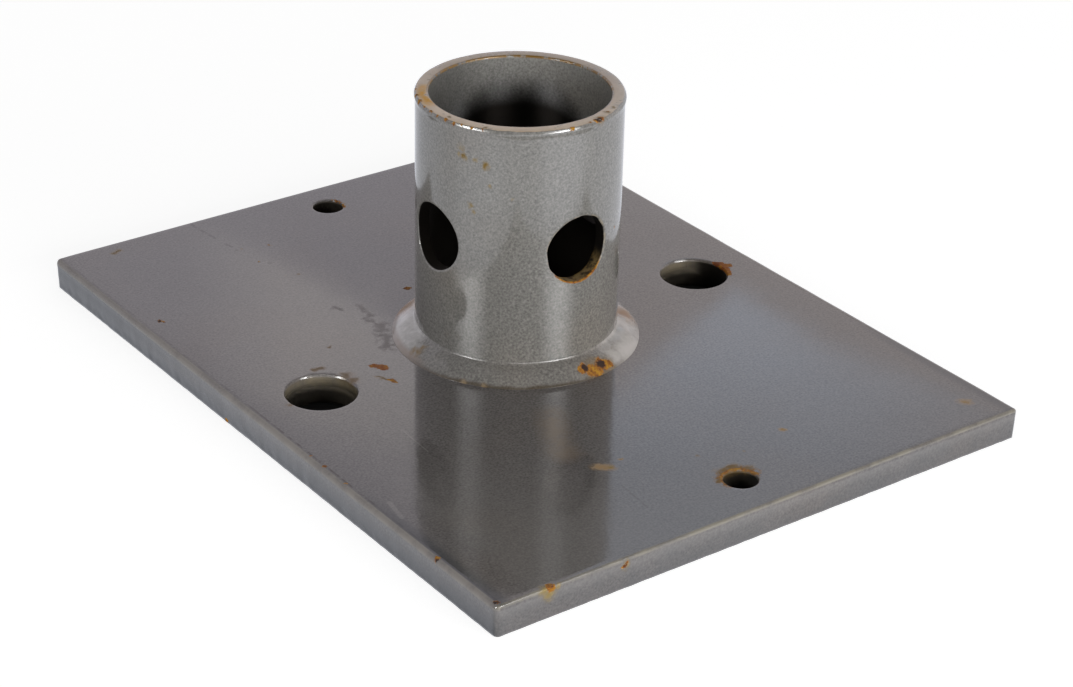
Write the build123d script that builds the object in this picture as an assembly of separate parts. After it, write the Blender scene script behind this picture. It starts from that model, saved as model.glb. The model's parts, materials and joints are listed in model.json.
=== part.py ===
from build123d import *
import os

# Shoring base plate: a sheared steel plate with a short pipe welded upright on its middle.
# Millimetres, +Z up. The origin is on the floor below the pipe's axis. +X runs along the
# plate's short side and +Y along its long side.

# Plate
plate_width = 183.0  # along X, about 7 3/16 in
plate_length = 238.0  # along Y, about 9 3/8 in
plate_thickness = 9.5  # 3/8 in plate
plate_corner_radius = 1.6  # the corners in plan
long_edge_roll = 1.5  # rounding that the shear left along the long sides' upper edges
short_edge_roll = 0.8  # the same along the short sides
shear_lean = 0.3  # how far the sheared sides lean in towards the underside
shear_break = 0.3  # narrow bevel along the lower edge

# Holes through the plate
bolt_hole_diameter = 20.6  # 13/16 in, for a 3/4 in bolt, one near each long side
bolt_hole_margin = 23.1  # hole centre to the long side's edge
nail_hole_diameter = 9.8  # 3/8 in, for a spike or a screw, one near each short side
nail_hole_margin = 14.2  # hole centre to the short side's edge
hole_edge_break = 0.35  # bevel around the holes on the upper face

# Pipe socket: 2 in schedule 40 pipe
pipe_diameter = 60.3
pipe_wall = 3.91
pipe_length = 77.5
rim_lip_height = 2.2  # the cut end is upset into a slight lip outside
rim_lip_proud = 0.3
rim_round = 0.5
pipe_seam_angle = 45.0  # the pipe's seam lies between the cross holes

# Cross holes through the pipe, one pair along X and one pair along Y
cross_hole_diameter = 20.2
cross_hole_rise = 39.1  # hole centre above the plate

# Fillet weld around the foot of the pipe
weld_leg_on_plate = 7.0  # a 1/4 in fillet, laid a little wide
weld_leg_on_pipe = 5.6
weld_crown = 0.8  # how far the bead's face stands out from a straight fillet

# Places worked out from the sizes above
bolt_hole_x = plate_width / 2 - bolt_hole_margin
nail_hole_y = plate_length / 2 - nail_hole_margin
pipe_radius = pipe_diameter / 2
bore_radius = pipe_radius - pipe_wall
cross_hole_z = plate_thickness + cross_hole_rise
bolt_hole_places = [(-bolt_hole_x, 0), (bolt_hole_x, 0)]
nail_hole_places = [(0, -nail_hole_y), (0, nail_hole_y)]


def sheared_section(width, roll):
    """Section across the plate: rounded shoulders above, and sides that lean in below."""
    half = width / 2
    foot = half - shear_lean
    shoulder_z = plate_thickness - roll
    side = [
        Line((0, 0), (foot - shear_break, 0)),
        Line((foot - shear_break, 0), (foot, shear_break)),
        Line((foot, shear_break), (half, shoulder_z)),
        CenterArc((half - roll, shoulder_z), roll, 0, 90),
        Line((half - roll, plate_thickness), (0, plate_thickness)),
    ]
    return make_face(side + [mirror(piece, Plane.YZ) for piece in side])


def plate_hole_cutter(diameter):
    """A drill that goes through the plate and breaks the hole's upper edge."""
    radius = diameter / 2
    drill = Cylinder(radius, 3 * plate_thickness)
    bevel = Cone(
        radius - hole_edge_break,
        radius + hole_edge_break,
        2 * hole_edge_break,
    )
    return drill + Pos(0, 0, plate_thickness) * bevel


def base_plate():
    """The flat plate, with its sheared sides and its four holes."""
    across = Plane.XZ * sheared_section(plate_width, long_edge_roll)
    along = Plane.YZ * sheared_section(plate_length, short_edge_roll)
    plan = RectangleRounded(plate_width, plate_length, plate_corner_radius)
    plate = extrude(plan, plate_thickness)
    plate &= extrude(across, plate_length, both=True)
    plate &= extrude(along, plate_width, both=True)
    for x, y in bolt_hole_places:
        plate -= Pos(x, y, 0) * plate_hole_cutter(bolt_hole_diameter)
    for x, y in nail_hole_places:
        plate -= Pos(x, y, 0) * plate_hole_cutter(nail_hole_diameter)
    return plate


def pipe_section():
    """Half section of the pipe's wall, from the plate up to the rim."""
    top = plate_thickness + pipe_length
    lip_radius = pipe_radius + rim_lip_proud
    outline = Polyline(
        (bore_radius, plate_thickness),
        (pipe_radius, plate_thickness),
        (pipe_radius, top - rim_lip_height),
        (lip_radius, top - rim_lip_height / 2),
        (lip_radius, top),
        (bore_radius, top),
        close=True,
    )
    section = make_face(outline)
    rim_corners = section.vertices().group_by(Axis.Y)[-1]
    return Plane.XZ * fillet(rim_corners, rim_round)


def socket_tube():
    """The pipe, with a slight lip at its rim and two pairs of cross holes."""
    pipe = Rot(0, 0, pipe_seam_angle) * revolve(pipe_section(), Axis.Z)
    drill = Cylinder(cross_hole_diameter / 2, 2 * pipe_diameter)
    pipe -= Pos(0, 0, cross_hole_z) * Rot(0, 90, 0) * drill
    pipe -= Pos(0, 0, cross_hole_z) * Rot(90, 0, 0) * drill
    return pipe


def weld_bead():
    """The fillet weld, a ring with a crowned face in the corner of pipe and plate."""
    root = (pipe_radius, plate_thickness)
    plate_toe = (pipe_radius + weld_leg_on_plate, plate_thickness)
    pipe_toe = (pipe_radius, plate_thickness + weld_leg_on_pipe)
    slope = Vector(weld_leg_on_pipe, weld_leg_on_plate).normalized() * weld_crown
    crown = (Vector(*plate_toe) + Vector(*pipe_toe)) / 2 + slope
    face = ThreePointArc(plate_toe, (crown.X, crown.Y), pipe_toe)
    section = make_face([Line(root, plate_toe), face, Line(pipe_toe, root)])
    return revolve(Plane.XZ * section, Axis.Z)


os.makedirs("parts", exist_ok=True)
export_step(base_plate(), "parts/base_plate.step")
export_step(socket_tube(), "parts/socket_tube.step")
export_step(weld_bead(), "parts/weld_bead.step")
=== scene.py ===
"""Looks of a painted steel shoring base plate: a plate, a pipe socket and the weld between them."""
import json
from math import asin, atan2, ceil, cos, hypot, pi, radians, sin, tan

import bmesh
import bpy
import numpy as np
from mathutils import Matrix, Vector, geometry, noise


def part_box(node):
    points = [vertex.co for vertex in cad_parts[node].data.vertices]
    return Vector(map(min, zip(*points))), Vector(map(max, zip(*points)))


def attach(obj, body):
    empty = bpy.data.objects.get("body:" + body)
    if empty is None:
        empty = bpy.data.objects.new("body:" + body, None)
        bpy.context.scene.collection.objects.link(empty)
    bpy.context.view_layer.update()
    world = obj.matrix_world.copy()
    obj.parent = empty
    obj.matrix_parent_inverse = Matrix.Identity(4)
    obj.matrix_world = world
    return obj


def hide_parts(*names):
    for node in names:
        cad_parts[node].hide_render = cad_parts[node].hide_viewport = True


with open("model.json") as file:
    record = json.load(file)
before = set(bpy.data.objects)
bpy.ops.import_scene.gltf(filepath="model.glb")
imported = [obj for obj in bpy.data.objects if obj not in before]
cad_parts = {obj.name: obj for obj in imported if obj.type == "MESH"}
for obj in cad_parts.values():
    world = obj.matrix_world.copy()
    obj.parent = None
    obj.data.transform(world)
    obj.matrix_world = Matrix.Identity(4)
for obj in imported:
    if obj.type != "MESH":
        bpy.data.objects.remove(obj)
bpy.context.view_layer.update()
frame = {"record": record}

# Everything is worked out in millimetres and turned into metres when a mesh is made
MM = 0.001

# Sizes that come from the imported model
plate_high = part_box("base_plate")[1] / MM
tube_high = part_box("socket_tube")[1] / MM
weld_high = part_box("weld_bead")[1] / MM
mounts = {mount["name"]: mount for mount in frame["record"]["mounts"]}
half_width = plate_high.x
half_length = plate_high.y
plate_top = plate_high.z
rim_height = tube_high.z
weld_height = weld_high.z
weld_toe_radius = weld_high.x
bore_radius = mounts["socket_bore"]["dims"]["r_mm"]
pin_hole_radius = mounts["pin_holes_x"]["dims"]["r_mm"]
pin_hole_height = mounts["pin_holes_x"]["pos_m"][2] / MM
bolt_hole_radius = mounts["bolt_holes"]["dims"]["hole_r_mm"]
bolt_hole_x = mounts["bolt_holes"]["dims"]["spacing_x_mm"] / 2
nail_hole_radius = mounts["nail_holes"]["dims"]["hole_r_mm"]
nail_hole_y = mounts["nail_holes"]["dims"]["spacing_y_mm"] / 2

# Sizes of the finish, read off the photo
plan_corner = 1.6  # the plate's corners in plan
long_edge_roll = 1.5  # rounding along the long sides' upper edges
short_edge_roll = 0.7
roll_wave = 0.12  # share by which that rounding varies
edge_droop = 0.12  # how far the top falls away beside the long edges
edge_droop_reach = 9.0
top_gap = 0.02  # how far the painted top stays below the solid's
top_wave = 0.02
shear_lean = 0.3
side_wave = 0.05  # roughness of the sheared sides
tear_depth = 0.08  # the same where the steel tore, low on the sides
foot_inset = 0.06
foot_tear = 0.12
bottom_jag = 0.07  # how far the torn lower edge stays above the floor
hole_wear = 0.08  # raggedness of the plate's holes
nail_hole_round = 0.45
lip_proud = 0.3
lip_height = 2.2
weld_leg_gap = 0.2  # how much smaller the bead is than the solid's, so that its lumps stay inside it
weld_height_gap = 0.1
weld_leg_wave = 0.25
weld_height_wave = 0.12
tube_radius = tube_high.x - lip_proud
seam_angle = radians(45)

# Camera that gives the photograph's view, in millimetres
eye = Vector((-429.119, -586.371, 389.373))
aim = Vector((0.653, -9.656, 9.055))
roll = radians(1.333)
lens = 92.08
sensor_width = 36.0


def make_mesh(name, points, faces):
    """Mesh from points in millimetres."""
    mesh = bpy.data.meshes.new(name)
    mesh.from_pydata([Vector(point) * MM for point in points], [], faces)
    return mesh


def add_object(name, data):
    """New object in the scene."""
    piece = bpy.data.objects.new(name, data)
    bpy.context.scene.collection.objects.link(piece)
    return piece


class Shell:
    """A closed mesh in the making, in millimetres."""

    def __init__(self):
        self.points = []
        self.faces = []
        self.normals = {}

    def row(self, points):
        """Adds a row of points and returns their numbers."""
        first = len(self.points)
        self.points += points
        return list(range(first, len(self.points)))

    def join(self, row_a, row_b):
        """Joins two closed rows of the same count with quads."""
        count = len(row_a)
        for i in range(count):
            j = (i + 1) % count
            self.faces.append((row_a[i], row_a[j], row_b[j], row_b[i]))

    def rows(self, profile):
        """Adds closed rows, joins each to the next, and returns the numbers of all."""
        numbers = [self.row(points) for points in profile]
        for row_a, row_b in zip(numbers, numbers[1:]):
            self.join(row_a, row_b)
        return numbers

    def sheet(self, flat, numbers, holes):
        """Fills a flat convex region with triangles, apart from its holes.

        flat has the 2-D place of each point and numbers its number in the mesh. holes has, for each
        hole, the places in those lists of the points round it.
        """
        edges = [(a, b) for hole in holes for a, b in zip(hole, hole[1:] + hole[:1])]
        points = [Vector(point) for point in flat]
        _, _, triangles, origin, _, _ = geometry.delaunay_2d_cdt(points, edges, [], 0, 1e-6)
        corners = np.array([[origin[i][0] for i in triangle] for triangle in triangles])
        centres = np.array(flat)[corners].mean(axis=1)
        keep = np.ones(len(corners), bool)
        for hole in holes:
            keep &= ~inside_loop(np.array([flat[i] for i in hole]), centres)
        for triangle in corners[keep]:
            face = tuple(numbers[i] for i in triangle)
            if len(set(face)) == 3:
                self.faces.append(face)

    def build(self, name, node, material):
        """Makes the Blender object that stands for a CAD node."""
        mesh = make_mesh(name, self.points, self.faces)
        model = bmesh.new()
        model.from_mesh(mesh)
        bmesh.ops.recalc_face_normals(model, faces=model.faces)
        model.to_mesh(mesh)
        model.free()
        mesh.polygons.foreach_set("use_smooth", [True] * len(mesh.polygons))
        normals = [vertex.normal.copy() for vertex in mesh.vertices]
        for number, normal in self.normals.items():
            normals[number] = normal
        mesh.normals_split_custom_set_from_vertices(normals)
        mesh.materials.append(material)
        piece = add_object(name, mesh)
        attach(piece, "root")
        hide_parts(node)
        return piece


def inside_loop(loop, points):
    """Which points lie inside a closed flat loop, by counting the sides that a ray crosses."""
    inside = np.zeros(len(points), bool)
    for (x1, y1), (x2, y2) in zip(loop, np.roll(loop, -1, axis=0)):
        if y1 != y2:
            spans = (y1 > points[:, 1]) != (y2 > points[:, 1])
            crossing = x1 + (points[:, 1] - y1) * (x2 - x1) / (y2 - y1)
            inside ^= spans & (points[:, 0] < crossing)
    return inside


def ripple(x, y, z, wavelength):
    """Smooth noise from -1 to 1 that repeats about once in a wavelength."""
    return noise.noise(Vector((x, y, z)) / wavelength)


def smoothstep(low, high, value):
    share = min(max((value - low) / (high - low), 0.0), 1.0)
    return share * share * (3 - 2 * share)


# Plate

def plate_outline(inset, corner):
    """Rounded rectangle as (point, outward direction) pairs, the same count for every inset."""
    reach_x = half_width - inset - corner
    reach_y = half_length - inset - corner
    long_steps = 236
    short_steps = 180
    corner_steps = 6
    pairs = []
    sides = [((1, -1), (0, 1), long_steps), ((1, 1), (-1, 0), short_steps),
             ((-1, 1), (0, -1), long_steps), ((-1, -1), (1, 0), short_steps)]
    for (sign_x, sign_y), (run_x, run_y), steps in sides:
        out = Vector((run_y, -run_x))
        start = Vector((sign_x * reach_x, sign_y * reach_y)) + out * corner
        run = Vector((run_x * 2 * reach_x, run_y * 2 * reach_y))
        for step in range(steps):
            pairs.append((start + run * step / steps, out))
        centre = start + run - out * corner
        for step in range(corner_steps):
            turn = pi / 2 * step / corner_steps
            direction = Matrix.Rotation(turn, 2) @ out
            pairs.append((centre + direction * corner, direction))
    return pairs


def top_height(x, y):
    """Height of the plate's top face, which falls away a little beside the long edges."""
    gap = half_width - abs(x)
    droop = edge_droop * max(0.0, 1 - gap / edge_droop_reach) ** 2
    return plate_top - top_gap - droop + top_wave * ripple(x, y, 0, 45.0)


def plate_edge_rows():
    """Rows from the top face over the rolled edge and down the sheared side to the underside."""
    rows = []
    for inset, corner in ((4.5, 2.5), (3.2, 2.0), (2.2, 1.2)):
        rows.append([(p.x, p.y, top_height(p.x, p.y)) for p, _ in plate_outline(inset, corner)])
    outline = plate_outline(0.0, plan_corner)
    roll_steps = 7
    for step in range(roll_steps + 1):
        turn = pi / 2 * step / roll_steps
        row = []
        for p, out in outline:
            size = short_edge_roll + (long_edge_roll - short_edge_roll) * abs(out.x) ** 2
            size *= 1 + roll_wave * ripple(p.x, p.y, 3, 14.0)
            place = p - out * size * (1 - sin(turn))
            height = top_height(place.x, place.y) - size * (1 - cos(turn))
            row.append((place.x, place.y, height))
        rows.append(row)
    for height in (6.9, 6.0, 5.0, 4.0, 3.1, 2.3, 1.6, 1.0, 0.55):
        torn = 1 - smoothstep(1.5, 5.0, height)
        row = []
        for p, out in outline:
            depth = shear_lean * 0.5 * (1 - height / plate_top)
            depth += side_wave * (1 + ripple(p.x, p.y, height * 0.3, 3.0))
            depth += torn * tear_depth * (1 + ripple(p.x, p.y, height * 0.8, 1.7))
            place = p - out * depth
            row.append((place.x, place.y, height))
        rows.append(row)
    row = []
    for p, out in outline:
        tear = 0.5 + 0.5 * ripple(p.x, p.y, 7, 2.1)
        place = p - out * (shear_lean * 0.5 + foot_inset + foot_tear * tear)
        row.append((place.x, place.y, bottom_jag * tear))
    rows.append(row)
    rows.append([(p.x, p.y, 0.0) for p, _ in plate_outline(1.6, 1.0)])
    rows.append([(p.x, p.y, 0.0) for p, _ in plate_outline(5.0, 2.0)])
    return rows


def plate_hole_rows(x, y, radius, steps):
    """Rows of one hole, from the top face over its rounded edge and down the wall to the underside."""
    rows = []
    profile = [(1.8, 0.0), (1.1, 0.0)]
    if radius > nail_hole_radius:
        profile += [(0.55, 0.0), (0.46, 0.02), (0.38, 0.07), (0.33, 0.14), (0.26, 0.26), (0.19, 0.38),
                    (0.12, 0.50), (0.05, 0.62), (0.01, 0.74), (0.0, 0.9)]
    else:
        for turn in (0.0, 0.35, 0.7, 1.05, 1.4, pi / 2):
            profile.append((nail_hole_round * (1 - sin(turn)), nail_hole_round * (1 - cos(turn))))
    profile += [(0.0, depth) for depth in (1.3, 2.5, 4.0, 5.5, 7.0, 8.3)]
    profile += [(0.05, 9.1), (0.3, None), (1.2, None), (2.5, None)]
    for gap, depth in profile:
        row = []
        for step in range(steps):
            turn = 2 * pi * step / steps
            torn = hole_wear * ripple(cos(turn) * radius, sin(turn) * radius, x * 0.1 + (depth or 9.5), 3.2)
            reach = radius + gap + torn * smoothstep(1.2, 0.0, gap)
            px = x + reach * cos(turn)
            py = y + reach * sin(turn)
            height = 0.0 if depth is None else top_height(px, py) - depth
            row.append((px, py, height))
        rows.append(row)
    return rows


def grid(reach_x, reach_y, step):
    """Evenly spaced places in a rectangle about the origin."""
    count_x = ceil(2 * reach_x / step)
    count_y = ceil(2 * reach_y / step)
    return [(-reach_x + 2 * reach_x * (i + 0.5) / count_x, -reach_y + 2 * reach_y * (j + 0.5) / count_y)
            for i in range(count_x) for j in range(count_y)]


def plate_face(shell, outer, holes, step, height):
    """Fills a flat face of the plate between its outer row and its holes."""
    numbers = list(outer)
    loops = []
    for hole in holes:
        loops.append(list(range(len(numbers), len(numbers) + len(hole))))
        numbers += hole
    flat = [shell.points[i][:2] for i in numbers]
    margin = half_width - max(point[0] for point in flat[:len(outer)]) + step * 0.8
    spare = []
    for x, y in grid(half_width - margin, half_length - margin, step):
        if all(hypot(x - hx, y - hy) > radius + 2.0 + step * 0.5 for hx, hy, radius in plate_holes()):
            spare.append((x, y))
    numbers += shell.row([(x, y, height(x, y)) for x, y in spare])
    shell.sheet(flat + spare, numbers, loops)


def plate_holes():
    """Place and radius of each hole in the plate."""
    return [(-bolt_hole_x, 0.0, bolt_hole_radius), (bolt_hole_x, 0.0, bolt_hole_radius),
            (0.0, -nail_hole_y, nail_hole_radius), (0.0, nail_hole_y, nail_hole_radius)]


def make_plate(material):
    """The plate as one closed mesh, fine on top and coarse below."""
    shell = Shell()
    top_step = 2.6
    under_step = 8.0
    edge = shell.rows(plate_edge_rows())
    tops = []
    bottoms = []
    for x, y, radius in plate_holes():
        steps = 96 if radius > nail_hole_radius else 64
        rows = shell.rows(plate_hole_rows(x, y, radius, steps))
        tops.append(rows[0])
        bottoms.append(rows[-1])
    plate_face(shell, edge[0], tops, top_step, top_height)
    plate_face(shell, edge[-1], bottoms, under_step, lambda x, y: 0.0)
    return shell.build("painted_plate", "base_plate", material)


# Socket tube

def around(angle, radius, height):
    return (radius * cos(angle), radius * sin(angle), height)


def pin_holes():
    """Angle round the tube and raggedness of each cross hole's edge."""
    return [(0.0, 0.10), (pi / 2, 0.10), (pi, 0.05), (-pi / 2, 0.30)]


def pin_hole_point(angle, wear, turn, gap, radius):
    """Point beside a cross hole's edge, on a cylinder of the given radius."""
    torn = wear * ripple(cos(turn) * 5, sin(turn) * 5, angle, 1.6) * smoothstep(1.6, 0.0, gap)
    reach = pin_hole_radius + gap + torn
    across = reach * cos(turn)
    height = pin_hole_height + reach * sin(turn)
    return around(angle + asin(across / radius), radius, height)


def tube_wall(shell, radius, bottom_row, top_row, heights, hole_rows, steps):
    """Fills one side of the tube's wall, unrolled flat, round the cross holes."""
    def unrolled(point):
        return ((atan2(point[1], point[0]) - seam_angle) % (2 * pi)) * radius, point[2]

    columns = [2 * pi * radius * i / steps for i in range(steps + 1)]
    flat = []
    numbers = []
    for row in (bottom_row, top_row):
        flat += [(column, shell.points[row[0]][2]) for column in columns]
        numbers += row + row[:1]
    loops = []
    for hole in hole_rows:
        loops.append(list(range(len(flat), len(flat) + len(hole))))
        flat += [unrolled(shell.points[i]) for i in hole]
        numbers += hole
    clearance = pin_hole_radius + 2.2
    for height in heights:
        row = []
        for i in range(steps):
            angle = seam_angle + 2 * pi * i / steps
            gaps = [hypot(radius * sin(angle - centre), height - pin_hole_height)
                    for centre, _ in pin_holes() if cos(angle - centre) > 0]
            row.append(None if min(gaps) < clearance else angle)
        made = [None if angle is None else shell.row([around(angle, radius, height)])[0] for angle in row]
        for i, number in enumerate(made + made[:1]):
            if number is not None:
                flat.append((columns[i], height))
                numbers.append(number)
    shell.sheet(flat, numbers, loops)


def worn_ring(angles, radius, height, wear):
    """Points round the tube's axis, a little out of true where the rim is worn."""
    row = []
    for angle in angles:
        x, y, _ = around(angle, 30, 0)
        row.append(around(angle, radius + wear * ripple(x, y, height, 5.0),
                          height + wear * ripple(x, y, 40 + radius, 7.0)))
    return row


def rim_profile():
    """Radius, height and wear of each row, from the outer wall over the rim into the bore."""
    low = rim_height - lip_height
    profile = [(tube_radius, low - 1.0, 0.0), (tube_radius + 0.06, low - 0.1, 0.02),
               (tube_radius + 0.18, low + 0.5, 0.04), (tube_radius + lip_proud - 0.02, low + 1.0, 0.05)]
    for inset, drop in ((0.03, 0.95), (0.09, 0.80), (0.18, 0.62), (0.27, 0.44), (0.36, 0.26), (0.48, 0.12)):
        profile.append((tube_radius + lip_proud - inset, rim_height - drop, 0.03))
    for radius in (tube_radius + lip_proud - 0.85, tube_radius - 2.0, bore_radius + 0.95):
        profile.append((radius, rim_height - 0.05, 0.04))
    for inset, drop, wear in ((0.45, 0.08, 0.04), (0.16, 0.22, 0.04), (0.03, 0.5, 0.02), (0.0, 1.0, 0.0)):
        profile.append((bore_radius + inset, rim_height - drop, wear))
    return profile


def pin_hole_profile():
    """Gap from a cross hole's wall and depth into the tube's wall of each row, from outside to inside."""
    wall = tube_radius - bore_radius
    profile = [(0.9, 0.0), (0.5, 0.0), (0.28, 0.04), (0.12, 0.12), (0.03, 0.26), (0.0, 0.45)]
    profile += [(0.0, depth) for depth in (1.1, 1.8, 2.5, 3.1)]
    return profile + [(0.0, wall - 0.3), (0.06, wall - 0.12), (0.2, wall - 0.03), (0.5, wall), (0.9, wall)]


def make_tube(material):
    """The tube as one closed mesh, with two walls joined by the rim, the foot and the cross holes."""
    shell = Shell()
    steps = 144
    wall_rows = 58
    angles = [seam_angle + 2 * pi * i / steps for i in range(steps)]
    lip = shell.rows([worn_ring(angles, *row) for row in rim_profile()])
    foot = shell.rows([worn_ring(angles, radius, plate_top, 0.0) for radius in (bore_radius, tube_radius)])
    outer_loops = []
    inner_loops = []
    hole_steps = 84
    turns = [2 * pi * i / hole_steps for i in range(hole_steps)]
    for angle, wear in pin_holes():
        rows = shell.rows([[pin_hole_point(angle, wear, turn, gap, tube_radius - depth) for turn in turns]
                           for gap, depth in pin_hole_profile()])
        outer_loops.append(rows[0])
        inner_loops.append(rows[-1])
    heights = list(np.linspace(plate_top, shell.points[lip[0][0]][2], wall_rows)[1:-1])
    for radius, bottom_row, top_row, loops, side in ((tube_radius, foot[1], lip[0], outer_loops, 1),
                                                     (bore_radius, foot[0], lip[-1], inner_loops, -1)):
        first = len(shell.points)
        tube_wall(shell, radius, bottom_row, top_row, heights, loops, steps)
        for number in bottom_row + top_row + sum(loops, []) + list(range(first, len(shell.points))):
            x, y, _ = shell.points[number]
            shell.normals[number] = side * Vector((x, y, 0)).normalized()
    return shell.build("painted_tube", "socket_tube", material)


# Weld bead

def weld_profile():
    """Share of the leg out from the tube and share of the height, from the tube down to the toe."""
    return [(0.0, 1.0), (0.008, 0.93), (0.03, 0.87), (0.07, 0.83), (0.13, 0.795), (0.22, 0.75),
            (0.33, 0.69), (0.45, 0.61), (0.57, 0.51), (0.68, 0.40), (0.78, 0.285), (0.86, 0.18),
            (0.92, 0.10), (0.96, 0.045), (0.985, 0.012), (1.0, 0.0)]


def make_weld(material):
    """A convex fillet ring with a small hollow where it meets the tube, some lumps and an uneven toe."""
    shell = Shell()
    steps = 300
    rows = []
    for out, up in weld_profile():
        row = []
        for i in range(steps):
            angle = 2 * pi * i / steps
            x, y, _ = around(angle, tube_radius, 0)
            leg = weld_toe_radius - tube_radius - weld_leg_gap + weld_leg_wave * ripple(x, y, 0, 11.0)
            height = weld_height - plate_top - weld_height_gap + weld_height_wave * ripple(x, y, 9, 9.0)
            middle = sin(pi * out)
            swell = middle * (0.12 * ripple(x, y, out * 6, 4.0) + weld_lump(angle))
            reach = tube_radius - 0.02 + leg * out + swell * 0.6
            row.append(around(angle, reach, plate_top + height * up + swell * 0.8))
        rows.append(row)
    numbers = shell.rows(rows)
    under = shell.row([around(2 * pi * i / steps, tube_radius - 0.02, plate_top) for i in range(steps)])
    shell.join(numbers[-1], under)
    shell.join(under, numbers[0])
    return shell.build("painted_weld", "weld_bead", material)


def weld_lump(angle):
    """Extra thickness where the bead was started, stopped and patched."""
    lumps = [(-47, 8, 0.45), (-33, 5, 0.35), (-20, 7, 0.3), (2, 8, 0.25), (96, 12, 0.25), (150, 12, 0.3)]
    total = 0.0
    for centre, width, size in lumps:
        gap = (angle / pi * 180 - centre + 180) % 360 - 180
        total += size * max(0.0, 1 - (gap / width) ** 2) ** 2
    return total


# Materials

# The axes that a ring in plan lies along, and directions in plan as the photo shows them
in_plan = (1.0, 1.0, 0.0)
forwards = (-0.59, -0.807, 0.0)
backwards = (0.59, 0.807, 0.0)
rightwards = (0.81, -0.59, 0.0)


def tree_of(*values):
    """Node tree of the first value that comes out of a node."""
    return next(value.id_data for value in values if isinstance(value, bpy.types.NodeSocket))


def put(socket, value):
    """Links a socket to an output, or gives it a plain value."""
    if isinstance(value, bpy.types.NodeSocket):
        socket.id_data.links.new(value, socket)
    else:
        socket.default_value = value


def add_node(tree, kind, *values, **settings):
    """New node, whose first inputs get the values."""
    node = tree.nodes.new(kind)
    for name, value in settings.items():
        setattr(node, name, value)
    for socket, value in zip(node.inputs, values):
        put(socket, value)
    return node


def maths(operation, *values, clamp=False):
    node = add_node(tree_of(*values), "ShaderNodeMath", *values, operation=operation, use_clamp=clamp)
    return node.outputs[0]


def chain(operation, first, *others):
    for other in others:
        first = maths(operation, first, other)
    return first


def times(*values):
    return chain("MULTIPLY", *values)


def most(*values):
    return chain("MAXIMUM", *values)


def less(*values):
    """The first value less all the others."""
    return chain("SUBTRACT", *values)


def vector(operation, *values):
    node = add_node(tree_of(*values), "ShaderNodeVectorMath", *values, operation=operation)
    return node.outputs["Value" if operation in ("LENGTH", "DOT_PRODUCT") else "Vector"]


def dot(a, b):
    return vector("DOT_PRODUCT", a, b)


def fractal(point, scale, detail, roughness, output="Fac"):
    """Layered noise at a point, from 0 to 1."""
    node = add_node(tree_of(point), "ShaderNodeTexNoise", point)
    for name, value in (("Scale", scale), ("Detail", detail), ("Roughness", roughness)):
        node.inputs[name].default_value = value
    return node.outputs[output]


def fit(value, low, high, to_low=0.0, to_high=1.0):
    """Maps a value smoothly from one range to another, held at both ends."""
    return add_node(tree_of(value), "ShaderNodeMapRange", value, low, high, to_low, to_high,
                    interpolation_type="SMOOTHSTEP").outputs[0]


def mix(share, a, b, blend="MIX"):
    node = add_node(tree_of(share, a, b), "ShaderNodeMix", data_type="RGBA", blend_type=blend)
    put(node.inputs["Factor"], share)
    for socket, value in ((node.inputs[6], a), (node.inputs[7], b)):
        put(socket, value if isinstance(value, bpy.types.NodeSocket) else (*value, 1.0))
    return node.outputs[2]


def grey(tone):
    """Turns one number into a grey colour."""
    return add_node(tree_of(tone), "ShaderNodeCombineColor", tone, tone, tone).outputs[0]


def ramp(value, stops):
    node = add_node(tree_of(value), "ShaderNodeValToRGB", value)
    elements = node.color_ramp.elements
    while len(elements) < len(stops):
        elements.new(0.5)
    for element, (place, colour) in zip(elements, stops):
        element.position = place
        element.color = (*colour, 1.0)
    return node.outputs[0]


def near(value, middle, half, soft):
    """1 within half of a middle value, and 0 from soft beyond that."""
    return fit(maths("ABSOLUTE", less(value, middle)), half + soft, half)


def empty_tree(owner):
    """Node tree of a new material or world, with nothing in it."""
    owner.use_nodes = True
    owner.node_tree.nodes.clear()
    return owner.node_tree


def new_material(name):
    """New material and its empty node tree."""
    material = bpy.data.materials.new(name)
    return material, empty_tree(material)


def make_surface(shader, kind="ShaderNodeOutputMaterial"):
    """Gives a shader to the material or world that its node tree belongs to."""
    put(add_node(shader.id_data, kind).inputs["Surface"], shader.outputs[0])


class Place:
    """Where a point of a mesh is, in millimetres, with its depth below the plate's top."""

    def __init__(self, tree):
        metres = add_node(tree, "ShaderNodeTexCoord").outputs["Object"]
        self.point = vector("MULTIPLY", metres, (1 / MM, 1 / MM, 1 / MM))
        self.x, self.y, self.z = add_node(tree, "ShaderNodeSeparateXYZ", self.point).outputs
        self.depth = less(plate_top, self.z)
        self.reach_x = maths("ABSOLUTE", self.x)
        self.reach_y = maths("ABSOLUTE", self.y)
        level = vector("MULTIPLY", self.point, in_plan)
        self.across = vector("LENGTH", level)
        self.outward = vector("NORMALIZE", level)


def spots_mask(point, spots):
    """1 along the middle of each spot, 0 at its edge and less beyond. A spot is two ends and a radius."""
    gaps = []
    for start, end, radius in spots:
        offset = vector("SUBTRACT", point, Vector(start))
        run = Vector(end) - Vector(start)
        if run.length > 0:
            along = maths("DIVIDE", dot(offset, run), run.length_squared, clamp=True)
            offset = vector("SUBTRACT", offset, vector("MULTIPLY", along, run))
        gaps.append(maths("DIVIDE", vector("LENGTH", offset), radius))
    return less(1.0, chain("MINIMUM", *gaps))


def ring_mask(point, centre, axes, radius, width):
    """1 on a circle about a centre, 0 a width away and less beyond. axes says which two it lies along."""
    offset = vector("SUBTRACT", point, centre)
    distance = vector("LENGTH", vector("MULTIPLY", offset, axes))
    gap = maths("ABSOLUTE", less(distance, radius))
    return less(1.0, maths("DIVIDE", gap, width))


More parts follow.
